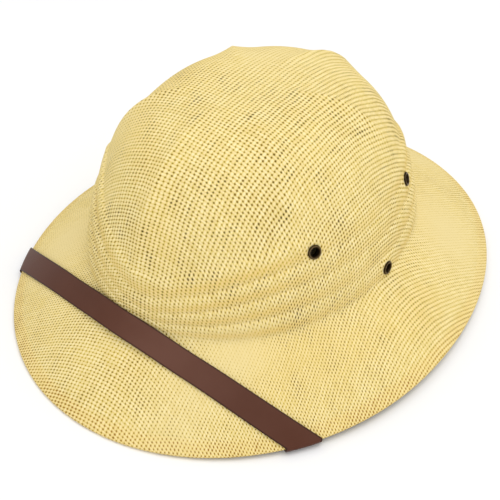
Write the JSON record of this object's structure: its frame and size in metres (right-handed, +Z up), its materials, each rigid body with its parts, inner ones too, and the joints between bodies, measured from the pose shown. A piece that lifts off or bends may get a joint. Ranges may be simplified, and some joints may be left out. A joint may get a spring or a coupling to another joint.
{
  "type": "pith helmet",
  "caption": "Pith helmet pressed from open straw weave, with a pleated crown, a hemmed sloping brim, ventilation eyelets and a brown leather chin strap worn over the front of the brim",
  "frame": {"origin": "on the floor under the middle of the hat's length and width", "axes": "-Y the front of the helmet, +X the wearer's left, +Z up out of the crown"},
  "size_m": [0.29, 0.3554, 0.1503],
  "materials": {
    "straw": "open weave of stiffened straw",
    "strap leather": "smooth, semi-matte",
    "eyelet brass": "antique, darkened"
  },
  "bodies": {
    "root": {"helmet_shell": "straw", "chin_strap": "strap leather", "eyelet_left_front": "eyelet brass", "eyelet_left_back": "eyelet brass", "eyelet_left_low": "eyelet brass", "eyelet_right_front": "eyelet brass", "eyelet_right_back": "eyelet brass", "eyelet_right_low": "eyelet brass"}
  },
  "joints": []
}
